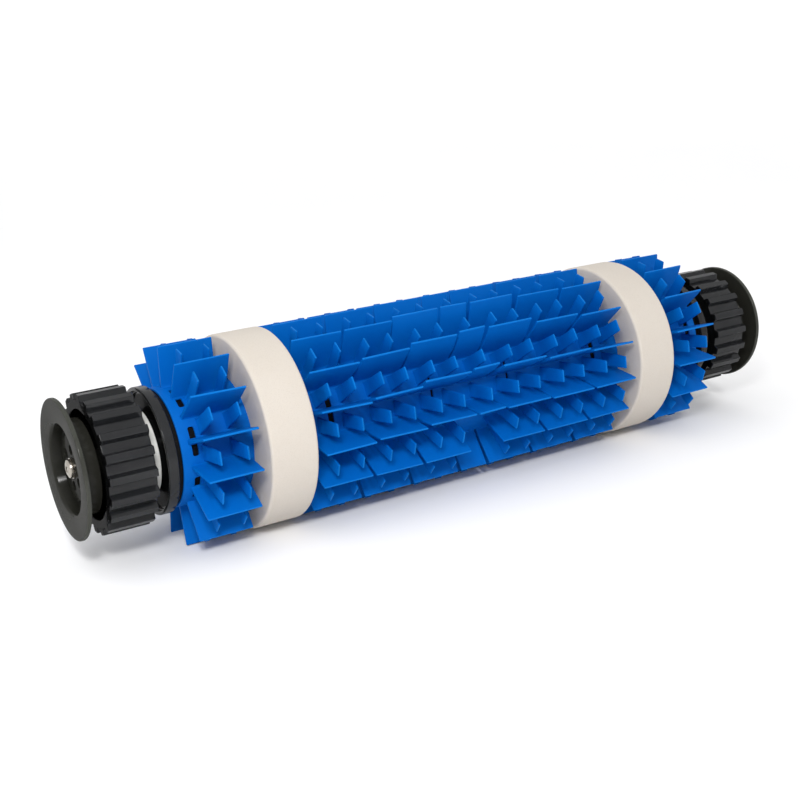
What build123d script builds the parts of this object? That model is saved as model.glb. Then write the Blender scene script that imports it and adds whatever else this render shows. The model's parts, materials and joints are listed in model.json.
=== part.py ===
from build123d import *
import math
import os

# Brush roller of a robotic pool cleaner. A finned sleeve and two foam rings sit on a tube that turns on
# a fixed axle, with a toothed track wheel and a dished end flange at each end.
# Frame: X along the axle, Z up, origin on the axle at mid length. Millimetres and degrees.
# Angles about the axle are counted from the front, which is -Y, upwards to +Z.

# Roller tube
tube_radius = 27.3
tube_wall = 2.5

# Brush sleeve
sleeve_clearance = 0.05
sleeve_wall = 0.9
sleeve_end_margin = 3.7
row_count = 15
row_phase = -6.0
root_sink = 0.6

# Long flaps of the sleeve
flap_tip_radius = 47.4
flap_length = 26.9
middle_flap_length = 16.0
flap_gap = 1.4
flaps_each_side = 3
flap_root_thickness = 1.9
flap_tip_thickness = 1.0

# Lean that the flaps have taken on at the front, greatest at mid length
lean_greatest = 6.0
lean_peak_angle = 44.0
lean_reach = 38.0

# Short cross tabs between the rows
tab_drop = 0.4
tab_root_width = 7.3
tab_tip_width = 6.4
tab_thickness = 1.1
tab_spacing = 13.2

# Slots through the sleeve, under every second row
slot_rows = 7
first_slot_row = -1
slot_span = 13.2
slot_width = 3.0
narrow_slot_width = 1.4
end_slot_inset = 2.8
slot_reach = 3.0

# Foam rings
ring_drop = 0.3
ring_width = 23.6
ring_side_gap = 3.7
ring_clearance = 0.1
ring_edge = 1.4

# End hubs, cups plugged into the tube
hub_gap = 2.6
hub_rim_radius = 30.0
hub_rim_width = 4.7
hub_rim_wall = 1.8
hub_rim_edge = 0.4
hub_web = 2.2
hub_seat_radius = 18.0
hub_seat_height = 2.5
hub_plug_depth = 18.0
hub_plug_wall = 2.5
hub_boss_radius = 11.0
hub_boss_depth = 10.0
hub_pillar_radius = 4.0

# Track wheels
wheel_gap = 5.6
wheel_width = 22.0
tooth_count = 20
tooth_phase_left = 0.6
tooth_phase_right = 4.7
tooth_tip_radius = 32.5
tooth_root_radius = 29.7
tooth_tip_width = 3.4
tooth_root_width = 5.2
wheel_bore_radius = 25.5
wheel_web = 4.0
wheel_edge = 0.5

# Bearing bushes
collar_radius = 20.3
collar_edge = 0.4
bush_radius = 8.0
bush_end_past_web = 6.6

# Screws that hold wheel and bush to the hub
wheel_screw_count = 3
wheel_screw_circle = 14.5
wheel_screw_phase = 90.0
wheel_screw_radius = 2.0
wheel_screw_head_flats = 7.0
wheel_screw_head_height = 2.6
wheel_screw_bite = 8.0
screw_clearance = 0.05

# Axle and its running fit
axle_radius = 4.0
running_clearance = 0.05
end_float = 0.3
thrust_washer_thickness = 0.8
thrust_washer_radius = 7.5

# End flanges
groove_width = 8.5
flange_radius = 32.5
flange_rim = 2.1
flange_dish = 0.7
neck_radius = 22.0
neck_gap = 0.1
neck_edge = 0.8
mouth_radius = 20.7
mouth_lip = 1.6
rim_edge = 0.6
channel_depth = 6.2
channel_outer_radius = 19.6
channel_inner_radius = 16.0
channel_curve = 1.5
disc_radius = 15.1
disc_edge = 0.7
disc_depth = 3.6
disc_thickness = 2.5
flange_sleeve_radius = 6.2
flange_fit = 0.02
hole_count = 6
hole_circle = 8.75
hole_radius = 2.3
hole_phase = 24.0

# Flange screws and their washers
flange_screw_radius = 2.45
flange_screw_bite = 12.0
tapped_depth_spare = 2.0
flange_screw_head_radius = 4.4
flange_screw_head_height = 2.2
head_dome = 1.3
cross_length = 5.0
cross_width = 1.1
cross_depth = 1.4
flange_washer_radius = 4.7
flange_washer_thickness = 0.6

# Places along the axle, stacked outwards from mid length
row_pitch = 360.0 / row_count
sleeve_bore = tube_radius + sleeve_clearance
sleeve_radius = sleeve_bore + sleeve_wall
flap_pitch = flap_length + flap_gap
first_flap = middle_flap_length / 2 + flap_gap
ring_start = first_flap + flaps_each_side * flap_pitch - flap_gap + ring_side_gap
end_flap = ring_start + ring_width + ring_side_gap
sleeve_half = end_flap + flap_length + sleeve_end_margin
hub_start = sleeve_half + hub_gap
hub_end = hub_start + hub_rim_width
web_face = hub_start + hub_web
seat_face = web_face + hub_seat_height
wheel_start = hub_end + wheel_gap
wheel_face = wheel_start + wheel_web
wheel_end = wheel_start + wheel_width
bush_start = web_face - hub_boss_depth
bush_end = wheel_face + bush_end_past_web
washer_start = bush_end + end_float
flange_sleeve_start = washer_start + thrust_washer_thickness
rim_back = wheel_end + groove_width
rim_front = rim_back + flange_rim
mouth = rim_front - flange_dish
disc_front = mouth - disc_depth
axle_end = disc_front - disc_thickness
channel_floor = mouth - channel_depth
head_seat = disc_front + flange_washer_thickness
tab_tip_radius = flap_tip_radius - tab_drop
ring_radius = flap_tip_radius - ring_drop
lowest_flap = flap_tip_radius * math.cos(math.radians(row_pitch / 2))
rest_height = -max(tab_tip_radius, lowest_flap)


def toward(angle):
    """Unit vector in the YZ plane at an angle about the axle."""
    turn = math.radians(angle)
    return Vector(-math.cos(turn), math.sin(turn))


def spun(points):
    """Solid of revolution about the axle from points (place along it, radius, rounding if any)."""
    outline = Polygon(*[point[:2] for point in points], align=None)
    for place, radius, *rounding in points:
        if rounding:
            corner = outline.vertices().sort_by_distance((place, radius))[0]
            outline = fillet(corner, rounding[0])
    return revolve(Plane.XY * outline, Axis.X)


def tube(start, end, outer, inner):
    """Straight ring along the axle."""
    return spun([(start, inner), (end, inner), (end, outer), (start, outer)])


def rod(start, end, radius, circle=0.0, angle=0.0):
    """Round bar along X, on the axle or on a circle about it."""
    spot = toward(angle) * circle
    face = Plane.YZ.offset(start) * Pos(spot.X, spot.Y) * Circle(radius)
    return extrude(face, amount=end - start)


def around(count, phase=0.0):
    """Evenly spaced angles about the axle."""
    return [phase + 360.0 * step / count for step in range(count)]


def plate(start, length, angle, tip_angle, tip_radius, root_size, tip_size):
    """Tapered plate that stands on the sleeve and runs along X."""
    root = toward(angle) * sleeve_radius
    tip = toward(tip_angle) * tip_radius
    rise = (tip - root).normalized()
    side = Vector(-rise.Y, rise.X)
    foot = root - rise * root_sink
    corners = [
        foot + side * (root_size / 2),
        foot - side * (root_size / 2),
        tip - side * (tip_size / 2),
        tip + side * (tip_size / 2),
    ]
    outline = Polygon(*[(corner.X, corner.Y) for corner in corners], align=None)
    return extrude(Plane.YZ.offset(start) * outline, amount=length)


def lean(angle, place):
    """Lean of a flap in degrees, from its row and its place along the roller."""
    away = (angle - lean_peak_angle + 180.0) % 360.0 - 180.0
    share = math.cos(math.radians(away)) ** 2 if abs(away) < 90.0 else 0.0
    return lean_greatest * share * math.exp(-((place / lean_reach) ** 2))


def flap_spans():
    """Start and length of every long flap in one row, from left to right."""
    starts = [first_flap + step * flap_pitch for step in range(flaps_each_side)] + [end_flap]
    left = [(-start - flap_length, flap_length) for start in reversed(starts)]
    right = [(start, flap_length) for start in starts]
    return left + [(-middle_flap_length / 2, middle_flap_length)] + right


def tab_places():
    """Places of the cross tabs in one row: a pair for each full flap, one for the short flap."""
    places = []
    for start, length in flap_spans():
        centre = start + length / 2
        pair = [-tab_spacing / 2, tab_spacing / 2]
        places += [centre + step for step in pair] if length == flap_length else [centre]
    return places


def slot(place, angle, width):
    """Cutter for one slot across a row."""
    cutter = Box(width, slot_span, 2 * slot_reach)
    return Rot(X=90.0 - angle) * Pos(place, 0, sleeve_radius) * cutter


def brush_sleeve():
    base = tube(-sleeve_half, sleeve_half, sleeve_radius, sleeve_bore)
    outer_flap = first_flap + (flaps_each_side - 1) * flap_pitch + flap_length / 2
    slots = []
    for step in range(slot_rows):
        angle = row_phase + (first_slot_row + 2 * step) * row_pitch
        for side in (-1, 1):
            slots.append(slot(side * (end_flap + flap_length - end_slot_inset), angle, slot_width))
            slots.append(slot(side * outer_flap, angle, slot_width))
            slots.append(slot(side * (first_flap + flap_length / 2), angle, narrow_slot_width))
    fins = []
    for angle in around(row_count, row_phase):
        for start, length in flap_spans():
            tip_angle = angle + lean(angle, start + length / 2)
            size = (flap_tip_radius, flap_root_thickness, flap_tip_thickness)
            fins.append(plate(start, length, angle, tip_angle, *size))
        between = angle + row_pitch / 2
        for place in tab_places():
            size = (tab_tip_radius, tab_root_width, tab_tip_width)
            fins.append(plate(place - tab_thickness / 2, tab_thickness, between, between, *size))
    return (base - slots) + fins


def foam_ring():
    start, end = ring_start, ring_start + ring_width
    bore = sleeve_radius + ring_clearance
    profile = [
        (start, bore),
        (end, bore),
        (end, ring_radius, ring_edge),
        (start, ring_radius, ring_edge),
    ]
    # Flat spot where the soft ring bears on the ground, level with the lowest tabs
    below = Box(ring_width, 2 * ring_radius, ring_radius, align=(Align.MIN, Align.CENTER, Align.MAX))
    return spun(profile) - Pos(start, 0, rest_height) * below


def wheel_screw_holes(start, end):
    radius = wheel_screw_radius + screw_clearance
    angles = around(wheel_screw_count, wheel_screw_phase)
    return [rod(start, end, radius, wheel_screw_circle, angle) for angle in angles]


def end_hub():
    plug_radius = tube_radius - tube_wall - sleeve_clearance
    plug_start = hub_start - hub_plug_depth
    rim_inner = hub_rim_radius - hub_rim_wall
    plug_inner = plug_radius - hub_plug_wall
    bore = bush_radius + sleeve_clearance
    profile = [
        (bush_start, bore),
        (seat_face, bore),
        (seat_face, hub_seat_radius),
        (web_face, hub_seat_radius),
        (web_face, rim_inner),
        (hub_end, rim_inner, hub_rim_edge),
        (hub_end, hub_rim_radius, hub_rim_edge),
        (hub_start, hub_rim_radius, hub_rim_edge),
        (hub_start, plug_radius),
        (plug_start, plug_radius),
        (plug_start, plug_inner),
        (hub_start, plug_inner),
        (hub_start, hub_boss_radius),
        (bush_start, hub_boss_radius),
    ]
    hole_floor = web_face - wheel_screw_bite
    angles = around(wheel_screw_count, wheel_screw_phase)
    pillar = (hole_floor - hub_web, hub_start, hub_pillar_radius, wheel_screw_circle)
    pillars = [rod(*pillar, angle) for angle in angles]
    holes = wheel_screw_holes(hole_floor, seat_face)
    return spun(profile) + pillars - holes


def track_wheel(phase):
    half_tip = tooth_tip_width / 2
    half_root = tooth_root_width / 2
    tooth_foot = tooth_root_radius - root_sink
    outline = [
        (half_root, tooth_foot),
        (half_root, tooth_root_radius),
        (half_tip, tooth_tip_radius),
        (-half_tip, tooth_tip_radius),
        (-half_root, tooth_root_radius),
        (-half_root, tooth_foot),
    ]
    tooth = extrude(Plane.YZ.offset(wheel_start) * Polygon(*outline, align=None), amount=wheel_width)
    teeth = [Rot(X=90.0 - angle) * tooth for angle in around(tooth_count, phase)]
    bore = bush_radius + sleeve_clearance
    profile = [
        (wheel_start, bore),
        (wheel_face, bore),
        (wheel_face, wheel_bore_radius, wheel_edge),
        (wheel_end, wheel_bore_radius, wheel_edge),
        (wheel_end, tooth_root_radius),
        (wheel_start, tooth_root_radius),
    ]
    return spun(profile) + teeth - wheel_screw_holes(wheel_start, wheel_face)


def bearing_bush():
    bore = axle_radius + running_clearance
    profile = [
        (bush_start, bore),
        (bush_end, bore),
        (bush_end, bush_radius),
        (wheel_start, bush_radius),
        (wheel_start, collar_radius, collar_edge),
        (seat_face, collar_radius, collar_edge),
        (seat_face, bush_radius),
        (bush_start, bush_radius),
    ]
    return spun(profile) - wheel_screw_holes(seat_face, wheel_start)


def wheel_screws():
    screws = []
    for angle in around(wheel_screw_count, wheel_screw_phase):
        spot = toward(angle) * wheel_screw_circle
        flats = RegularPolygon(wheel_screw_head_flats / 2, 6, major_radius=False)
        seat = Plane.YZ.offset(wheel_face) * Pos(spot.X, spot.Y)
        head = extrude(seat * flats, amount=wheel_screw_head_height)
        shank = rod(web_face - wheel_screw_bite, wheel_face, wheel_screw_radius, wheel_screw_circle, angle)
        screws.append(head + shank)
    return Compound(children=screws)


def axle_rod():
    axle = rod(-axle_end, axle_end, axle_radius)
    depth = flange_screw_bite + tapped_depth_spare
    hole = rod(axle_end - depth, axle_end, flange_screw_radius + screw_clearance)
    return axle - hole - mirror(hole, about=Plane.YZ)


def thrust_washer():
    return tube(washer_start, flange_sleeve_start, thrust_washer_radius, axle_radius + running_clearance)


def end_flange():
    neck_end = wheel_end + neck_gap
    bore = axle_radius + flange_fit
    screw_hole = flange_screw_radius + screw_clearance
    profile = [
        (flange_sleeve_start, bore),
        (axle_end, bore),
        (axle_end, screw_hole),
        (disc_front, screw_hole),
        (disc_front, disc_radius, disc_edge),
        (channel_floor, channel_inner_radius, channel_curve),
        (channel_floor, channel_outer_radius, channel_curve),
        (mouth, mouth_radius, mouth_lip),
        (rim_front, flange_radius, rim_edge),
        (rim_back, flange_radius, rim_edge),
        (rim_back, neck_radius, neck_edge),
        (neck_end, neck_radius, neck_edge),
        (neck_end, flange_sleeve_radius),
        (flange_sleeve_start, flange_sleeve_radius),
    ]
    angles = around(hole_count, hole_phase)
    holes = [rod(neck_end, disc_front, hole_radius, hole_circle, angle) for angle in angles]
    return spun(profile) - holes


def flange_washer():
    return tube(disc_front, head_seat, flange_washer_radius, flange_screw_radius + screw_clearance)


def flange_screw():
    tip = axle_end - flange_screw_bite
    crown = head_seat + flange_screw_head_height
    profile = [
        (tip, 0),
        (crown, 0),
        (crown, flange_screw_head_radius, head_dome),
        (head_seat, flange_screw_head_radius),
        (head_seat, flange_screw_radius),
        (tip, flange_screw_radius),
    ]
    bar = Box(2 * cross_depth, cross_length, cross_width)
    cross = [Pos(crown, 0, 0) * Rot(X=turn) * bar for turn in (45.0, 135.0)]
    return spun(profile) - cross


def write(name, shape):
    shape.label = name
    export_step(shape, os.path.join("parts", name + ".step"))


os.makedirs("parts", exist_ok=True)

write("roller_tube", tube(-hub_start, hub_start, tube_radius, tube_radius - tube_wall))
write("brush_sleeve", brush_sleeve())
write("axle_rod", axle_rod())

paired = {
    "foam_ring": foam_ring,
    "end_hub": end_hub,
    "bearing_bush": bearing_bush,
    "wheel_screws": wheel_screws,
    "thrust_washer": thrust_washer,
    "end_flange": end_flange,
    "flange_washer": flange_washer,
    "flange_screw": flange_screw,
}
for name, make in paired.items():
    right = make()
    write(name + "_right", right)
    write(name + "_left", mirror(right, about=Plane.YZ))

# The two wheels were pressed on at slightly different turns
write("track_wheel_right", track_wheel(tooth_phase_right))
write("track_wheel_left", mirror(track_wheel(tooth_phase_left), about=Plane.YZ))
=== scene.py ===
import json
import math

import bmesh
import bpy
from mathutils import Matrix, Vector, noise


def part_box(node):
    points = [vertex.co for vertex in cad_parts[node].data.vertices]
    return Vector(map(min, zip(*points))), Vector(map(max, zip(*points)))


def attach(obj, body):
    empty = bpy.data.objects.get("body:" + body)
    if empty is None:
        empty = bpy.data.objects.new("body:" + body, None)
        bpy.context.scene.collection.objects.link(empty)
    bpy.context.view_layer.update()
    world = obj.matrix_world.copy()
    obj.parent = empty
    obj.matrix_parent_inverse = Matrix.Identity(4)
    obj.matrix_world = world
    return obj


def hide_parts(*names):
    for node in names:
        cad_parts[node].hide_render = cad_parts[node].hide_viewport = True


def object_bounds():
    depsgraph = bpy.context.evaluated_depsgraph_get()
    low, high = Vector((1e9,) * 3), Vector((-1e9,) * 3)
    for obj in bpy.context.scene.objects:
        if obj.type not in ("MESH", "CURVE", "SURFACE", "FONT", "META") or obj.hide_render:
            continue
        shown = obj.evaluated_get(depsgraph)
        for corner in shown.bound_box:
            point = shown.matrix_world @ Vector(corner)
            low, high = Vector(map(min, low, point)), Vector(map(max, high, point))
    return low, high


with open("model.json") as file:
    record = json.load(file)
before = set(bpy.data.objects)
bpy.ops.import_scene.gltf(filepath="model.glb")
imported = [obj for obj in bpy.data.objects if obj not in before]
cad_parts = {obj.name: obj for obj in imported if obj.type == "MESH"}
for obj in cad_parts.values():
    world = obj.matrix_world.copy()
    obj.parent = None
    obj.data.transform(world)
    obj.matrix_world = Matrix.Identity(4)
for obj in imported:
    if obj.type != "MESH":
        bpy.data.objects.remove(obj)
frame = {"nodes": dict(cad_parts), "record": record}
cadLow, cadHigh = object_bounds()  # the solids' box; its bottom sets the floor's height
print("frame loaded:", len(frame["nodes"]), "nodes")

mm = 0.001
deg = math.pi / 180


def away(node):  # nearest and farthest distance of an end piece from mid length
    low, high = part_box(node)
    return sorted((abs(low[0]), abs(high[0])))


def reach(node):  # radius of a round node about the axle
    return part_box(node)[1][1]


# small wrappers for node trees

class Wire:
    def __init__(self, bench, socket):
        self.bench = bench
        self.socket = socket

    def sum(self, operation, first, second):
        return self.bench.node("ShaderNodeMath", {"operation": operation}, {0: first, 1: second})

    def __add__(self, other): return self.sum("ADD", self, other)
    def __radd__(self, other): return self.sum("ADD", other, self)
    def __sub__(self, other): return self.sum("SUBTRACT", self, other)
    def __rsub__(self, other): return self.sum("SUBTRACT", other, self)
    def __mul__(self, other): return self.sum("MULTIPLY", self, other)
    def __rmul__(self, other): return self.sum("MULTIPLY", other, self)
    def __truediv__(self, other): return self.sum("DIVIDE", self, other)
    def __rtruediv__(self, other): return self.sum("DIVIDE", other, self)
    def __pow__(self, other): return self.sum("POWER", self, other)


class Bench:  # lays nodes into one tree
    def __init__(self, tree):
        self.tree = tree

    def node(self, kind, settings=None, sockets=None, out=0):
        made = self.tree.nodes.new(kind)
        for name, value in (settings or {}).items():
            setattr(made, name, value)
        for name, value in (sockets or {}).items():
            if isinstance(value, Wire):
                self.tree.links.new(value.socket, made.inputs[name])
            else:
                made.inputs[name].default_value = value
        return Wire(self, made.outputs[out]) if made.outputs else made

    def also(self, wire, name):  # another output of the node behind a wire
        return Wire(self, wire.socket.node.outputs[name])

    def clamp(self, value):
        return self.node("ShaderNodeClamp", {}, {"Value": value})

    def blend(self, factor, first, second):
        return self.node("ShaderNodeMix", {"data_type": "RGBA"}, {0: factor, 6: first, 7: second}, 2)


def colour(red, green, blue):  # screen values 0 to 255 to scene light
    def light(value):
        share = value / 255
        return share / 12.92 if share <= 0.04045 else ((share + 0.055) / 1.055) ** 2.4
    return (light(red), light(green), light(blue), 1)


# finishes

class Paint(Bench):
    def __init__(self, name):
        self.material = bpy.data.materials.new(name)
        self.material.use_nodes = True
        super().__init__(self.material.node_tree)
        self.shader = self.tree.nodes["Principled BSDF"]
        self.place = self.node("ShaderNodeTexCoord", {}, {}, "Object")

    def grain(self, scale, detail=3.0, rough=0.5):
        sockets = {"Vector": self.place, "Scale": scale, "Detail": detail, "Roughness": rough}
        return self.node("ShaderNodeTexNoise", {}, sockets, "Fac")

    def ramp(self, value, low, high):  # 0 below low, 1 above high
        sockets = {"Value": value, "From Min": low, "From Max": high}
        return self.node("ShaderNodeMapRange", {"clamp": True}, sockets)

    def bump(self, height, strength, distance):
        sockets = {"Height": height, "Strength": strength, "Distance": distance}
        return self.node("ShaderNodeBump", {}, sockets)

    def feed(self, **values):
        for name, value in values.items():
            socket = self.shader.inputs[name.replace("_", " ")]
            if isinstance(value, Wire):
                self.tree.links.new(value.socket, socket)
            else:
                socket.default_value = value
        return self.material


vinylLook = {
    "deep": colour(0, 90, 175),
    "fresh": colour(0, 96, 181),
    # painted highlight: the lighter blue laid along the tips of flaps and tabs
    "edge": colour(14, 124, 198),
    "rough": 0.46,
}


def blueVinyl():
    paint = Paint("blueVinyl")
    rise = paint.node("ShaderNodeAttribute", {"attribute_name": "finRise"}, {}, "Fac")
    tone = paint.node("ShaderNodeAttribute", {"attribute_name": "finTone"}, {}, "Fac")
    cloud = paint.grain(70, 4)
    speck = paint.grain(900, 2)
    mixed = paint.clamp(0.25 + cloud * 0.4 + tone * 0.3)
    body = paint.blend(mixed, vinylLook["deep"], vinylLook["fresh"])
    # painted highlight along the tips, standing in for light catching the edges
    lip = paint.ramp(rise, 0.985, 1.0) * 0.35
    skin = paint.blend(lip, body, vinylLook["edge"])
    height = speck * 0.35 + paint.grain(240, 2) * 0.65
    return paint.feed(
        Base_Color=skin,
        Roughness=paint.clamp(vinylLook["rough"] - 0.07 + cloud * 0.14 + speck * 0.05),
        Normal=paint.bump(height, 0.1, 0.0003),
        Specular_IOR_Level=0.06,
    )


foamLook = {
    "body": colour(199, 192, 183),
    "warm": colour(193, 185, 175),
    "pore": colour(166, 156, 145),
    "poreScale": 1500,
}


def creamFoam():
    paint = Paint("creamFoam")
    cloud = paint.grain(35, 4)
    cells = {"Vector": paint.place, "Scale": foamLook["poreScale"]}
    gap = paint.node("ShaderNodeTexVoronoi", {"feature": "F1"}, cells, "Distance")
    pit = 1 - paint.ramp(gap, 0.12, 0.42)
    body = paint.blend(cloud, foamLook["warm"], foamLook["body"])
    skin = paint.blend(pit * 0.2, body, foamLook["pore"])
    height = paint.grain(2600, 3) * 0.5 - pit * 0.6 + paint.grain(160, 3) * 0.8
    return paint.feed(
        Base_Color=skin,
        Roughness=paint.clamp(0.86 + cloud * 0.12),
        Normal=paint.bump(height, 0.2, 0.0004),
        Subsurface_Weight=0.1,
        Subsurface_Radius=(0.003, 0.0025, 0.002),
        Specular_IOR_Level=0.1,
    )


class Moulding(Paint):  # moulded plastic: cloudy tone, fine dust, smeared gloss
    def __init__(self, name, look):
        super().__init__(name)
        self.look = look
        self.cloud = self.grain(55, 4)
        self.speck = self.grain(1300, 2)
        self.smear = self.grain(14, 5, 0.6)
        tone = self.clamp(self.cloud * 0.7 + self.smear * 0.3)
        self.skin = self.blend(tone, look["base"], look["light"])
        self.sheen = look["coat"] * (0.7 + self.smear * 0.6)

    def along(self):  # distance from mid length
        side = self.node("ShaderNodeSeparateXYZ", {}, {0: self.place}, "X")
        return self.node("ShaderNodeMath", {"operation": "ABSOLUTE"}, {0: side})

    def out(self):  # distance from the axle
        arm = self.node("ShaderNodeVectorMath", {"operation": "MULTIPLY"}, {0: self.place, 1: (0.0, 1.0, 1.0)})
        return self.node("ShaderNodeVectorMath", {"operation": "LENGTH"}, {0: arm}, "Value")

    def shade(self, mask, deep):  # painted shade: near black and no coat where the mask is 1
        self.skin = self.blend(mask * deep, self.skin, colour(3, 3, 3))
        self.sheen = self.sheen * (1 - mask * deep)

    def done(self):
        dust = self.ramp(self.grain(2100, 1), 0.7, 0.8) * 0.05
        rough = self.look["rough"] - 0.08 + self.smear * 0.16 + self.speck * 0.06
        return self.feed(
            Base_Color=self.blend(dust, self.skin, colour(120, 120, 122)),
            Roughness=self.clamp(rough),
            Normal=self.bump(self.speck * 0.6 + self.grain(320, 2) * 0.4, 0.07, 0.0003),
            Specular_IOR_Level=self.look["gloss"],
            Coat_Weight=self.clamp(self.sheen),
            Coat_Roughness=0.12,
        )


plastics = {
    "dark": {"base": colour(21, 22, 23), "light": colour(33, 34, 36), "rough": 0.3, "gloss": 0.0, "coat": 0.6},
    "flange": {"base": colour(32, 32, 28), "light": colour(41, 41, 37), "rough": 0.3, "gloss": 0.0, "coat": 0.2},
    "tube": {"base": colour(6, 6, 7), "light": colour(10, 10, 11), "rough": 0.55, "gloss": 0.1, "coat": 0.0},
    "nylon": {"base": colour(220, 220, 216), "light": colour(234, 234, 230), "rough": 0.42, "gloss": 0.4, "coat": 0.0},
    "cup": 26.8 * mm,
    "highlightRadius": 32.2 * mm,
    "dishMouth": 20.9 * mm,
}


def darkMoulding():  # wheels and hubs: painted shade inside the cups and on the flat ends
    paint = Moulding("darkMoulding", plastics["dark"])
    start, end = away("track_wheel_right")
    # painted shade: masks for the cup insides, the bores and the flat wheel ends
    inside = 1 - paint.ramp(paint.out(), plastics["cup"] - 0.4 * mm, plastics["cup"])
    ends = paint.ramp(paint.along(), end - 0.2 * mm, end - 0.08 * mm)
    near = paint.ramp(paint.along(), start - 0.2 * mm, start)
    back = near - paint.ramp(paint.along(), start + 0.08 * mm, start + 0.2 * mm)
    paint.shade(paint.clamp(inside + ends + back), 0.75)
    return paint.done()


def flangeMoulding():  # painted shade deep in the dish, a painted highlight line round the rim
    paint = Moulding("flangeMoulding", plastics["flange"])
    low, front = away("end_flange_right")
    # painted shade: the dish darkens towards its floor
    within = 1 - paint.ramp(paint.out(), plastics["dishMouth"] - 0.5 * mm, plastics["dishMouth"])
    sunk = 1 - paint.ramp(paint.along(), front - 6.4 * mm, front - 1.2 * mm)
    paint.shade(within * sunk, 0.6)
    # painted highlight: a lighter line round the outer rim, in place of rim light
    rimHighlight = paint.ramp(paint.out(), plastics["highlightRadius"] - 0.3 * mm, plastics["highlightRadius"])
    paint.skin = paint.blend(rimHighlight * (0.1 + paint.cloud * 0.4), paint.skin, colour(92, 94, 88))
    return paint.done()


def turnedSteel():
    paint = Paint("turnedSteel")
    ring = {"Vector": paint.place, "Scale": 900.0, "Distortion": 1.5, "Detail": 2.0}
    turning = paint.node("ShaderNodeTexWave", {"wave_type": "RINGS", "rings_direction": "X"}, ring, "Fac")
    stain = paint.grain(420, 4)
    return paint.feed(
        Base_Color=paint.blend(stain, colour(146, 140, 130), colour(192, 186, 176)),
        Metallic=1.0,
        Roughness=paint.clamp(0.16 + stain * 0.14 + turning * 0.05),
        Normal=paint.bump(turning, 0.05, 0.0002),
    )


finishes = {
    "blue_vinyl": blueVinyl(),
    "cream_foam": creamFoam(),
    "dark_plastic": darkMoulding(),
    "flange_plastic": flangeMoulding(),
    "tube_plastic": Moulding("blackTube", plastics["tube"]).done(),
    "white_nylon": Moulding("whiteNylon", plastics["nylon"]).done(),
    "stainless_steel": turnedSteel(),
}
slotOf = {entry["node"]: entry["material_slot"] for entry in frame["record"]["subparts"]}
print("finishes mixed:", len(finishes))


# mesh helpers

def toward(angle):  # direction across the axle, counted from the front upwards
    return Vector((0, -math.cos(angle), math.sin(angle)))


def newPiece(name, mesh, finish):
    piece = bpy.data.objects.new(name, mesh)
    bpy.context.scene.collection.objects.link(piece)
    if finish:
        mesh.materials.clear()
        mesh.materials.append(finishes[finish])
    return piece


def meshFrom(name, builder):
    mesh = bpy.data.meshes.new(name)
    builder.to_mesh(mesh)
    builder.free()
    return mesh


def settle(piece, crease=35):  # smooth faces with crisp edges
    for face in piece.data.polygons:
        face.use_smooth = True
    piece.data.set_sharp_from_angle(angle=crease * deg)


def baked(piece):  # the evaluated shape as a plain mesh, modifiers gone
    graph = bpy.context.evaluated_depsgraph_get()
    mesh = bpy.data.meshes.new_from_object(piece.evaluated_get(graph))
    piece.modifiers.clear()
    old, piece.data = piece.data, mesh
    bpy.data.meshes.remove(old)
    return piece


def rounded(corners, step=12):  # (x, radius, rounding) corners to points, with arcs of short chords
    points = []
    for index, (x, r, size) in enumerate(corners):
        here = Vector((x, r))
        if not size:
            points.append(here)
            continue
        before = Vector(corners[index - 1][:2]) - here
        after = Vector(corners[(index + 1) % len(corners)][:2]) - here
        half = before.angle(after) / 2
        middle = here + (before.normalized() + after.normalized()).normalized() * (size / math.sin(half))
        back = size / math.tan(half)
        first = here + before.normalized() * back - middle
        last = here + after.normalized() * back - middle
        turn = first.angle_signed(last)
        count = max(2, math.ceil(abs(turn) / (step * deg)))
        for part in range(count + 1):
            points.append(middle + Matrix.Rotation(-turn * part / count, 2) @ first)
    return points


def spun(name, corners, finish, segments=144):  # closed outline turned about the axle
    points = rounded(corners)
    builder = bmesh.new()
    rings = []
    for part in range(segments):
        arm = toward(2 * math.pi * part / segments)
        rings.append([builder.verts.new(Vector((point.x, 0, 0)) + arm * point.y) for point in points])
    for part in range(segments):
        ring, following = rings[part], rings[(part + 1) % segments]
        for index in range(len(points)):
            builder.faces.new((ring[index - 1], ring[index], following[index], following[index - 1]))
    bmesh.ops.remove_doubles(builder, verts=builder.verts, dist=1e-6)
    bmesh.ops.recalc_face_normals(builder, faces=builder.faces)
    return newPiece(name, meshFrom(name, builder), finish)


def carve(piece, cutters):  # takes the cutters out of a piece
    for cutter in cutters:
        tool = piece.modifiers.new("carve", "BOOLEAN")
        tool.operation = "DIFFERENCE"
        tool.solver = "MANIFOLD"
        tool.object = cutter
    baked(piece)
    for cutter in cutters:
        bpy.data.meshes.remove(cutter.data)
    return piece


def joined(name, pieces):
    builder = bmesh.new()
    for piece in pieces:
        builder.from_mesh(piece.data)
    finish = pieces[0].data.materials[0]
    result = newPiece(name, meshFrom(name, builder), None)
    result.data.materials.append(finish)
    for piece in pieces:
        bpy.data.meshes.remove(piece.data)
    return result


def flipped(name, piece, finish):  # the same piece at the other end
    builder = bmesh.new()
    builder.from_mesh(piece.data)
    bmesh.ops.transform(builder, matrix=Matrix.Scale(-1, 4, (1, 0, 0)), verts=builder.verts)
    bmesh.ops.reverse_faces(builder, faces=builder.faces)
    return newPiece(name, meshFrom(name, builder), finish)


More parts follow.
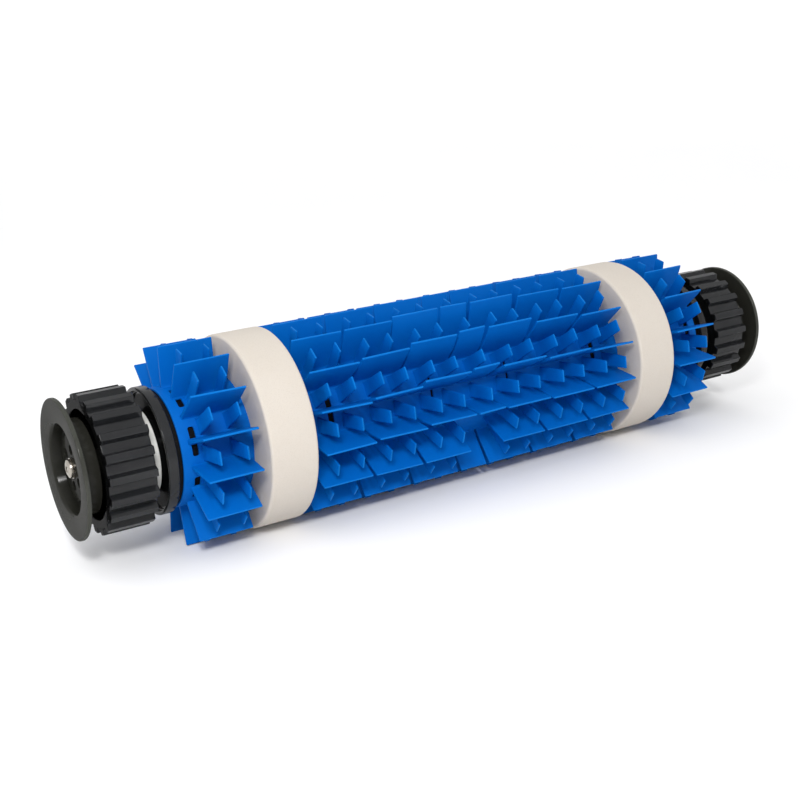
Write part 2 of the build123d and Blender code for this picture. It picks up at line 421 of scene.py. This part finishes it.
def block(length, levels):  # upright bar: levels of (height, half thickness, end inset), corners cut
    builder = bmesh.new()
    rings = []
    for height, half, inset in levels:
        along = length / 2 - inset
        nick = min(0.3 * mm, half * 0.45)
        outline = [(along, half - nick), (along - nick, half), (nick - along, half), (-along, half - nick)]
        outline += [(-x, -y) for x, y in outline]
        rings.append([builder.verts.new((x, y, height)) for x, y in outline])
    for lower, upper in zip(rings, rings[1:]):
        for index in range(len(lower)):
            builder.faces.new((lower[index - 1], lower[index], upper[index], upper[index - 1]))
    builder.faces.new(rings[0])
    builder.faces.new(rings[-1])
    bmesh.ops.recalc_face_normals(builder, faces=builder.faces)
    return builder


# rows of upright bars around the axle

finInputs = {
    "Rows": "NodeSocketInt",
    "Count": "NodeSocketInt",
    "First Row": "NodeSocketFloat",
    "Root Radius": "NodeSocketFloat",
    "Tip Radius": "NodeSocketFloat",
    "Lean": "NodeSocketFloat",
    "Lean Peak": "NodeSocketFloat",
    "Lean Reach": "NodeSocketFloat",
    "Stray": "NodeSocketFloat",
    "Wave": "NodeSocketFloat",
    "Seed": "NodeSocketInt",
    "Bar": "NodeSocketObject",
    "Finish": "NodeSocketMaterial",
}


def finRowTree():
    tree = bpy.data.node_groups.new("finRows", "GeometryNodeTree")
    tree.interface.new_socket("Geometry", in_out="INPUT", socket_type="NodeSocketGeometry")
    for name, kind in finInputs.items():
        tree.interface.new_socket(name, in_out="INPUT", socket_type=kind)
    tree.interface.new_socket("Geometry", in_out="OUTPUT", socket_type="NodeSocketGeometry")
    bench = Bench(tree)
    given = bench.node("NodeGroupInput")

    def value(name):
        return bench.also(given, name)

    def maths(operation, first, second=0.0):
        return bench.node("ShaderNodeMath", {"operation": operation}, {0: first, 1: second})

    def chance(low, high, shift):
        sockets = {2: low, 3: high, "Seed": value("Seed") + shift}
        return bench.node("FunctionNodeRandomValue", {"data_type": "FLOAT"}, sockets, 1)

    def kept(geometry, kind, name, amount):
        settings = {"data_type": kind, "domain": "POINT"}
        sockets = {"Geometry": geometry, "Name": name, "Value": amount}
        return bench.node("GeometryNodeStoreNamedAttribute", settings, sockets)

    def recalled(kind, name):
        return bench.node("GeometryNodeInputNamedAttribute", {"data_type": kind}, {"Name": name})

    copies = bench.node("GeometryNodeDuplicateElements", {"domain": "POINT"},
                        {"Geometry": given, "Amount": value("Count")})
    row = bench.also(copies, "Duplicate Index")
    where = bench.node("ShaderNodeSeparateXYZ", {}, {0: bench.node("GeometryNodeInputPosition")}, "X")
    angle = value("First Row") + row * (2 * math.pi) / value("Rows")

    # lean from the row's height and the place along the roller
    swing = maths("MAXIMUM", maths("COSINE", angle - value("Lean Peak")))
    fade = where / value("Lean Reach")
    bell = maths("EXPONENT", fade * fade * -1.0)
    lean = value("Lean") * swing * swing * bell + chance(-1.0, 1.0, 3) * value("Stray")
    copies = kept(copies, "FLOAT", "finLean", lean)
    copies = kept(copies, "FLOAT", "finTone", chance(0.0, 1.0, 7))

    # the turn is kept before the points move to their seats
    radius = value("Root Radius")
    arm = {"X": where, "Y": maths("COSINE", angle) * radius * -1.0, "Z": maths("SINE", angle) * radius}
    seat = bench.node("ShaderNodeCombineXYZ", {}, arm)
    copies = kept(copies, "FLOAT_VECTOR", "finTurn", bench.node("ShaderNodeCombineXYZ", {}, {"X": math.pi / 2 - angle}))
    copies = bench.node("GeometryNodeSetPosition", {}, {"Geometry": copies, "Position": seat})
    shape = bench.node("GeometryNodeObjectInfo", {}, {"Object": value("Bar")}, "Geometry")
    stance = {"Points": copies, "Instance": shape, "Rotation": recalled("FLOAT_VECTOR", "finTurn")}
    stood = bench.node("GeometryNodeInstanceOnPoints", {}, stance)
    solid = bench.node("GeometryNodeRealizeInstances", {}, {"Geometry": stood})

    # each bar bends about the axle, more towards its tip
    spot = bench.node("GeometryNodeInputPosition")
    flat = bench.node("ShaderNodeVectorMath", {"operation": "MULTIPLY"}, {0: spot, 1: (0.0, 1.0, 1.0)})
    out = bench.also(bench.node("ShaderNodeVectorMath", {"operation": "LENGTH"}, {0: flat}), "Value")
    rise = bench.clamp((out - radius) / (value("Tip Radius") - radius))
    ripple = bench.node("ShaderNodeTexNoise", {}, {"Vector": spot, "Scale": 45.0, "Detail": 1.0}, "Fac")
    bend = recalled("FLOAT", "finLean") * rise ** 1.25 + (ripple - 0.5) * value("Wave") * rise * rise
    bent = bench.node("ShaderNodeVectorRotate", {"rotation_type": "X_AXIS"}, {"Vector": spot, "Angle": bend * -1.0})
    solid = kept(solid, "FLOAT", "finRise", rise)
    solid = bench.node("GeometryNodeSetPosition", {}, {"Geometry": solid, "Position": bent})
    solid = bench.node("GeometryNodeSetMaterial", {}, {"Geometry": solid, "Material": value("Finish")})
    bench.node("NodeGroupOutput", {}, {"Geometry": solid})
    return tree


finRows = finRowTree()


def stand(name, places, length, levels, finish, **sizes):  # bars at these places along the roller, on every row
    bar = newPiece(name + "Bar", meshFrom(name + "Bar", block(length, levels)), None)
    line = bmesh.new()
    for place in places:
        line.verts.new((place, 0, 0))
    piece = newPiece(name, meshFrom(name, line), None)
    sizes = {"Lean": 0.0, "Lean Peak": 0.0, "Lean Reach": 1.0, "Stray": 0.0, "Wave": 0.0, "Seed": 1,
             "Count": sizes["Rows"], "Bar": bar, "Finish": finishes[finish], **sizes}
    rows = piece.modifiers.new("rows", "NODES")
    rows.node_group = finRows
    for socket in finRows.interface.items_tree:
        if socket.in_out == "INPUT" and socket.name in sizes:
            rows[socket.identifier] = sizes[socket.name]
    piece.update_tag()
    baked(piece)
    bpy.data.meshes.remove(bar.data)
    piece.data.materials.clear()
    piece.data.materials.append(finishes[finish])
    return piece


def place(piece, body, node, crease=35):
    settle(piece, crease)
    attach(piece, body)
    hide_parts(node)
    return piece


# brush sleeve

sleeve = {
    "wall": 0.9 * mm,
    "radius": 28.25 * mm,
    "rows": 15,
    "firstRow": -6 * deg,
    "tip": 47.4 * mm,
    "flap": 26.9 * mm,
    "shortFlap": 16 * mm,
    "gap": 1.4 * mm,
    "perSide": 3,
    "endMargin": 3.7 * mm,
    "rootHalf": 0.95 * mm,
    "tipHalf": 0.5 * mm,
    "foot": 0.6 * mm,
    "lean": 6 * deg,
    "leanPeak": 44 * deg,
    "leanReach": 38 * mm,
    "tabTip": 47 * mm,
    "tabHalf": 0.55 * mm,
    "tabRoot": 7.3 * mm,
    "tabDraft": 0.45 * mm,
    "tabSpacing": 13.2 * mm,
    "bareFlaps": 1,  # one place at mid length, below the front, has no flap and no tabs beside it
    "bareTabs": 2,
    "slotRows": 7,
    "firstSlotRow": -1,
    "slotSpan": 13.2 * mm,
    "slotWidth": 3 * mm,
    "narrowSlot": 1.4 * mm,
    "slotInset": 2.8 * mm,
    "slotReach": 3 * mm,
}
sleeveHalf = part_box("brush_sleeve")[1][0]
flapPitch = sleeve["flap"] + sleeve["gap"]
firstFlap = (sleeve["shortFlap"] + sleeve["flap"]) / 2 + sleeve["gap"]
endFlap = sleeveHalf - sleeve["endMargin"] - sleeve["flap"] / 2
flapCentres = [firstFlap + step * flapPitch for step in range(sleeve["perSide"])] + [endFlap]
bothSides = [side * centre for side in (-1, 1) for centre in flapCentres]


def flapLevels(tip, rootHalf, tipHalf, draft):  # a flared foot, a long taper and a soft lip
    height = tip - sleeve["radius"]
    thick = lambda share: rootHalf + (tipHalf - rootHalf) * share
    inset = lambda share: draft * share
    levels = [(-sleeve["foot"], rootHalf + 0.45 * mm, 0)]
    levels += [(0.0, rootHalf + 0.4 * mm, 0), (0.35 * mm, rootHalf + 0.1 * mm, inset(0.02))]
    levels += [(height * share, thick(share), inset(share)) for share in (0.06, 0.3, 0.55, 0.8)]
    levels += [(height - 0.3 * mm, tipHalf, inset(1.0)), (height, tipHalf * 0.45, inset(1.0) + 0.2 * mm)]
    return levels


def slotCutter(centre, angle, width):
    builder = bmesh.new()
    bmesh.ops.create_cube(builder, size=1)
    size = Vector((width, sleeve["slotSpan"], 2 * sleeve["slotReach"]))
    bmesh.ops.scale(builder, vec=size, verts=builder.verts)
    upright = [edge for edge in builder.edges if abs((edge.verts[0].co - edge.verts[1].co).normalized().z) > 0.9]
    bmesh.ops.bevel(builder, geom=upright, offset=width * 0.3, segments=3, affect="EDGES", profile=0.5)
    turn = Matrix.Rotation(math.pi / 2 - angle, 4, "X")
    move = Matrix.Translation((centre, 0, sleeve["radius"]))
    bmesh.ops.transform(builder, matrix=turn @ move, verts=builder.verts)
    return builder


def slotCutters():
    whole = bmesh.new()
    for row in range(sleeve["slotRows"]):
        angle = sleeve["firstRow"] + (sleeve["firstSlotRow"] + 2 * row) * 2 * math.pi / sleeve["rows"]
        for side in (-1, 1):
            outer = endFlap + sleeve["flap"] / 2 - sleeve["slotInset"]
            spots = [(outer, "slotWidth"), (flapCentres[-2], "slotWidth"), (flapCentres[0], "narrowSlot")]
            for centre, width in spots:
                one = meshFrom("slot", slotCutter(side * centre, angle, sleeve[width]))
                whole.from_mesh(one)
                bpy.data.meshes.remove(one)
    return newPiece("slots", meshFrom("slots", whole), None)


def brushSleeve():
    inner, outer = sleeve["radius"] - sleeve["wall"], sleeve["radius"]
    soft = 0.25 * mm
    outline = [(-sleeveHalf, inner, 0), (-sleeveHalf, outer, soft), (sleeveHalf, outer, soft), (sleeveHalf, inner, 0)]
    skin = carve(spun("sleeveSkin", outline, "blue_vinyl", 180), [slotCutters()])
    shared = {"Rows": sleeve["rows"], "Root Radius": sleeve["radius"], "Lean Peak": sleeve["leanPeak"],
              "Lean Reach": sleeve["leanReach"]}
    flaps = {**shared, "First Row": sleeve["firstRow"], "Tip Radius": sleeve["tip"], "Lean": sleeve["lean"],
             "Stray": 0.7 * deg, "Wave": 2.2 * deg}
    levels = flapLevels(sleeve["tip"], sleeve["rootHalf"], sleeve["tipHalf"], 0.25 * mm)
    full = stand("longFlaps", bothSides, sleeve["flap"], levels, "blue_vinyl", Seed=11, **flaps)
    shortRows = {**flaps, "Seed": 12, "Count": sleeve["rows"] - sleeve["bareFlaps"]}
    short = stand("shortFlaps", [0], sleeve["shortFlap"], levels, "blue_vinyl", **shortRows)
    # the tabs are the same bars turned across the roller, so they get their own levels
    half = sleeve["tabSpacing"] / 2
    spots = [centre + step for centre in bothSides for step in (-half, half)]
    tabRows = {**shared, "First Row": sleeve["firstRow"] + math.pi / sleeve["rows"], "Tip Radius": sleeve["tabTip"],
               "Stray": 0.8 * deg, "Wave": 1.2 * deg}
    wide = sleeve["tabRoot"] / 2
    height = sleeve["tabTip"] - sleeve["radius"]
    across = lambda share: wide - sleeve["tabDraft"] * share
    tab = [(-sleeve["foot"], wide + 0.3 * mm, -0.3 * mm), (0.0, wide + 0.25 * mm, -0.25 * mm), (0.4 * mm, wide, 0.0)]
    tab += [(height * share, across(share), 0.06 * mm * share) for share in (0.35, 0.7)]
    tab += [(height - 0.35 * mm, across(1.0), 0.08 * mm), (height, across(1.0) - 0.3 * mm, 0.3 * mm)]
    tabs = stand("crossTabs", spots, 2 * sleeve["tabHalf"], tab, "blue_vinyl", Seed=13, **tabRows)
    middleRows = {**tabRows, "Seed": 14, "Count": sleeve["rows"] - sleeve["bareTabs"]}
    middle = stand("middleTabs", [0], 2 * sleeve["tabHalf"], tab, "blue_vinyl", **middleRows)
    return joined("brushSleeve", [skin, full, short, tabs, middle])


place(brushSleeve(), "roller", "brush_sleeve", 32)
print("brush sleeve stands")


# foam rings

ring = {"edge": 1.4 * mm, "bore": 28.35 * mm, "lump": 0.12 * mm}


def foamRing(name, node):
    low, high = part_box(node)
    radius = high[2]
    corners = [(low[0], ring["bore"], 0), (low[0], radius, ring["edge"]),
               (high[0], radius, ring["edge"]), (high[0], ring["bore"], 0)]
    builder = bmesh.new()
    shell = spun(name + "Shell", corners, "cream_foam", 200)
    builder.from_mesh(shell.data)
    bpy.data.meshes.remove(shell.data)
    long = [edge for edge in builder.edges if abs(edge.verts[0].co.x - edge.verts[1].co.x) > 8 * mm]
    bmesh.ops.subdivide_edges(builder, edges=long, cuts=12, use_grid_fill=True)
    for vert in builder.verts:
        arm = Vector((0, vert.co.y, vert.co.z))
        if arm.length > ring["bore"] + mm:
            vert.co -= arm.normalized() * ring["lump"] * (0.5 + 0.5 * noise.noise(vert.co * 90))
        vert.co.z = max(vert.co.z, low[2])  # flat where the soft foam bears on the ground
    return newPiece(name, meshFrom(name, builder), "cream_foam")


for side in ("left", "right"):
    node = "foam_ring_" + side
    piece = place(foamRing(side + "FoamRing", node), "roller", node, 60)
print("foam rings cut")


# end hubs: the cup ring beside the sleeve

hub = {
    "rim": 4.7 * mm,
    "wall": 1.8 * mm,
    "lip": 0.4 * mm,
    "web": 2.2 * mm,
    "seat": 18 * mm,
    "bore": 8.05 * mm,
    "boss": 11 * mm,
    "bossDepth": 10 * mm,
    "plug": 24.75 * mm,
    "plugWall": 2.5 * mm,
}


def endHub():
    inner, outer = away("end_hub_right")
    radius = reach("end_hub_right")
    back = outer - hub["rim"]
    web = back + hub["web"]
    cup = radius - hub["wall"]
    plugInner = hub["plug"] - hub["plugWall"]
    bossEnd = web - hub["bossDepth"]
    corners = [
        (outer, hub["bore"], 0),
        (outer, hub["seat"], 0),
        (web, hub["seat"], 0),
        (web, cup, 0.6 * mm),
        (outer, cup, hub["lip"]),
        (outer, radius, hub["lip"]),
        (back, radius, hub["lip"]),
        (back, hub["plug"], 0),
        (inner, hub["plug"], 0.5 * mm),
        (inner, plugInner, 0),
        (back, plugInner, 0),
        (back, hub["boss"], 0),
        (bossEnd, hub["boss"], 0),
        (bossEnd, hub["bore"], 0),
    ]
    return spun("rightHub", corners, "dark_plastic")


rightHub = endHub()
leftHub = flipped("leftHub", rightHub, "dark_plastic")
place(rightHub, "roller", "end_hub_right")
place(leftHub, "roller", "end_hub_left")
print("end hubs turned")


# track wheels

wheel = {
    "teeth": 20,
    "firstLeft": 0.6 * deg,
    "firstRight": 4.7 * deg,
    "tip": 32.5 * mm,
    "root": 29.7 * mm,
    "tipHalf": 1.7 * mm,
    "rootHalf": 2.6 * mm,
    "bore": 25.5 * mm,
    "web": 4 * mm,
    "hole": 8.05 * mm,
    "foot": 0.8 * mm,
}


def trackWheel(name, node, first):
    start, end = away(node)
    face = start + wheel["web"]
    corners = [
        (start, wheel["hole"], 0), (start, wheel["root"], 0.3 * mm), (end, wheel["root"], 0.3 * mm),
        (end, wheel["bore"], 0.5 * mm), (face, wheel["bore"], 0.5 * mm), (face, wheel["hole"], 0),
    ]
    body = spun("wheelBody", corners, "dark_plastic")
    height = wheel["tip"] - wheel["root"]
    root, tip = wheel["rootHalf"], wheel["tipHalf"]
    levels = [
        (-wheel["foot"], root, 0.0), (0.0, root, 0.0), (height * 0.5, (root + tip) / 2, 0.05 * mm),
        (height - 0.25 * mm, tip + 0.06 * mm, 0.1 * mm), (height, tip - 0.2 * mm, 0.35 * mm),
    ]
    sizes = {"Rows": wheel["teeth"], "First Row": first, "Root Radius": wheel["root"], "Tip Radius": wheel["tip"]}
    teeth = stand("teeth", [(start + end) / 2], end - start, levels, "dark_plastic", **sizes)
    return joined(name, [body, teeth])


place(trackWheel("rightWheel", "track_wheel_right", wheel["firstRight"]), "roller", "track_wheel_right", 14)
mirrored = trackWheel("mirroredWheel", "track_wheel_left", wheel["firstLeft"])
leftWheel = flipped("leftWheel", mirrored, "dark_plastic")
bpy.data.meshes.remove(mirrored.data)
place(leftWheel, "roller", "track_wheel_left", 14)
print("track wheels cut")


# end flanges

flange = {
    "rim": 2.1 * mm,
    "dish": 0.7 * mm,
    "mouth": 20.7 * mm,
    "neck": 22 * mm,
    "front": 200 * mm,
    "neckStart": 189.5 * mm,
    "channel": 6.2 * mm,
    "channelOuter": 19.6 * mm,
    "channelInner": 16 * mm,
    "disc": 15.1 * mm,
    "discDepth": 3.6 * mm,
    "discThick": 2.5 * mm,
    "bore": 4.02 * mm,
    "screwHole": 2.5 * mm,
    "sleeve": 6.2 * mm,
    "holes": 6,
    "holeCircle": 8.75 * mm,
    "holeRadius": 2.3 * mm,
    "firstHole": 24 * deg,
}


def endFlange():
    start = away("end_flange_right")[0]
    front = flange["front"]
    radius = reach("end_flange_right")
    back = front - flange["rim"]
    mouth = front - flange["dish"]
    floor = mouth - flange["channel"]
    disc = mouth - flange["discDepth"]
    axleEnd = disc - flange["discThick"]
    corners = [
        (start, flange["bore"], 0), (axleEnd, flange["bore"], 0), (axleEnd, flange["screwHole"], 0),
        (disc, flange["screwHole"], 0.2 * mm), (disc, flange["disc"], 0.7 * mm),
        (floor, flange["channelInner"], 1.5 * mm), (floor, flange["channelOuter"], 1.5 * mm),
        (mouth, flange["mouth"], 1.6 * mm), (front, radius, 0.6 * mm), (back, radius, 0.6 * mm),
        (back, flange["neck"], 0.8 * mm), (flange["neckStart"], flange["neck"], 0.8 * mm),
        (flange["neckStart"], flange["sleeve"], 0), (start, flange["sleeve"], 0.4 * mm),
    ]
    body = spun("rightFlange", corners, "flange_plastic", 160)
    drills = bmesh.new()
    for step in range(flange["holes"]):
        spot = toward(flange["firstHole"] + 2 * math.pi * step / flange["holes"]) * flange["holeCircle"]
        middle = (flange["neckStart"] + disc) / 2
        move = Matrix.Translation(Vector((middle, 0, 0)) + spot) @ Matrix.Rotation(math.pi / 2, 4, "Y")
        depth = disc - flange["neckStart"] + 2 * mm
        bmesh.ops.create_cone(drills, cap_ends=True, segments=40, radius1=flange["holeRadius"],
                              radius2=flange["holeRadius"], depth=depth, matrix=move)
    return carve(body, [newPiece("drills", meshFrom("drills", drills), None)])


rightFlange = endFlange()
leftFlange = flipped("leftFlange", rightFlange, "flange_plastic")
place(rightFlange, "axle_set", "end_flange_right")
place(leftFlange, "axle_set", "end_flange_left")
print("end flanges turned")


# flange screws

screw = {"head": 4.4 * mm, "headHeight": 2.2 * mm, "shank": 2.45 * mm, "cross": 5.2 * mm, "blade": 1.15 * mm, "depth": 1.5 * mm}


def flangeScrew():
    tip, crown = away("flange_screw_right")
    seat = crown - screw["headHeight"]
    tiny = 0.02 * mm
    corners = [
        (crown, tiny, 0), (crown - 0.15 * mm, screw["head"] * 0.55, 1.6 * mm),
        (crown - 0.75 * mm, screw["head"] - 0.25 * mm, 0.5 * mm), (seat, screw["head"], 0.3 * mm),
        (seat, screw["shank"], 0), (tip + 0.6 * mm, screw["shank"], 0), (tip, screw["shank"] - 0.6 * mm, 0), (tip, tiny, 0),
    ]
    body = spun("rightScrew", corners, "stainless_steel", 64)
    blades = []
    for turn in (35 * deg, 125 * deg):
        blade = bmesh.new()
        for vert in bmesh.ops.create_cube(blade, size=1)["verts"]:  # narrower at the bottom of the recess
            deep = 0.62 if vert.co.x < 0 else 1.0
            vert.co.x *= 2 * screw["depth"]
            vert.co.y *= screw["cross"] * deep
            vert.co.z *= screw["blade"] * deep
        move = Matrix.Translation((crown, 0, 0)) @ Matrix.Rotation(turn, 4, "X")
        bmesh.ops.transform(blade, matrix=move, verts=blade.verts)
        blades.append(newPiece("blade", meshFrom("blade", blade), None))
    return carve(body, blades)


rightScrew = flangeScrew()
leftScrew = flipped("leftScrew", rightScrew, "stainless_steel")
place(rightScrew, "axle_set", "flange_screw_right", 28)
place(leftScrew, "axle_set", "flange_screw_left", 28)
print("flange screws driven")


# nodes that keep their own shape

for name, node in frame["nodes"].items():
    node.data.materials.clear()
    node.data.materials.append(finishes[slotOf[name]])
print("carried nodes painted")


# floor, light and camera

studio = {
    "floor": colour(250, 250, 250),
    "flat": 2.0,
    "curve": 1.2,
    "top": 2.2,
    "sky": 0.9,
    "sun": (0.65, (-0.3, -0.85, 0.75), 6 * deg),
    "key": (2.4, (-0.4, -0.5, 0.42), 0.18),
    "rim": (0.8, (-1.1, 0.05, 0.45), 0.3),
}


def floor():  # a wide pale disc that sweeps up into a wall all round
    flat, curve = studio["flat"], studio["curve"]
    steps = [part / 12 * math.pi / 2 for part in range(13)]
    outline = [(0, 0)] + [(flat + curve * math.sin(turn), curve * (1 - math.cos(turn))) for turn in steps]
    outline.append((flat + curve, studio["top"]))
    builder = bmesh.new()
    edge = [builder.verts.new((out, 0, up)) for out, up in outline]
    line = [builder.edges.new(pair) for pair in zip(edge, edge[1:])]
    bmesh.ops.spin(builder, geom=edge + line, cent=(0, 0, 0), axis=(0, 0, 1), angle=2 * math.pi, steps=96)
    bmesh.ops.remove_doubles(builder, verts=builder.verts, dist=1e-5)
    bmesh.ops.recalc_face_normals(builder, faces=builder.faces)
    bmesh.ops.reverse_faces(builder, faces=builder.faces)
    mesh = meshFrom("floor", builder)
    paint = Paint("paleFloor")
    soft = paint.grain(3, 2)
    shade = paint.blend(soft, studio["floor"], colour(247, 247, 248))
    mesh.materials.append(paint.feed(Base_Color=shade, Roughness=0.95))
    ground = newPiece("floor", mesh, None)
    ground.location.z = cadLow[2] - 0.0002
    settle(ground, 60)


def lamp(name, kind, power, spot, size):
    light = bpy.data.lights.new(name, kind)
    light.energy = power
    if kind == "SUN":
        light.angle = size
    else:
        light.shape = "DISK"
        light.size = size
    lit = bpy.data.objects.new(name, light)
    bpy.context.scene.collection.objects.link(lit)
    lit.location = spot
    lit.rotation_euler = (-Vector(spot)).to_track_quat("-Z", "Y").to_euler()


def sky():
    world = bpy.data.worlds.new("studioSky")
    world.use_nodes = True
    world.node_tree.nodes["Background"].inputs["Color"].default_value = (1, 1, 1, 1)
    world.node_tree.nodes["Background"].inputs["Strength"].default_value = studio["sky"]
    bpy.context.scene.world = world


view = {"azimuth": -31.75, "elevation": 21.98, "distance": 641.2 * mm, "right": -21.01 * mm, "up": -8.32 * mm,
        "rollAboutAxle": 6.3, "lens": 55.32}


def camera():
    turnA, turnE = view["azimuth"] * deg, view["elevation"] * deg
    back = Vector((math.sin(turnA) * math.cos(turnE), -math.cos(turnA) * math.cos(turnE), math.sin(turnE)))
    right = Vector((math.cos(turnA), math.sin(turnA), 0))
    up = back.cross(right)
    spot = back * view["distance"] + right * view["right"] + up * view["up"]
    stance = Matrix((right, up, back)).transposed().to_4x4()
    lens = bpy.data.cameras.new("photoView")
    lens.lens = view["lens"]
    lens.sensor_width = 36
    lens.clip_end = 20
    eye = bpy.data.objects.new("photoView", lens)
    bpy.context.scene.collection.objects.link(eye)
    lie = Matrix.Rotation(view["rollAboutAxle"] * deg, 4, "X")  # the roller settles on a row of tabs
    eye.matrix_world = lie @ Matrix.Translation(spot) @ stance
    bpy.context.scene.camera = eye


floor()
for name, kind in (("sun", "SUN"), ("key", "AREA"), ("rim", "AREA")):
    lamp(name, kind, *studio[name])
sky()
camera()
bpy.context.scene.view_settings.view_transform = "Standard"
print("studio set")
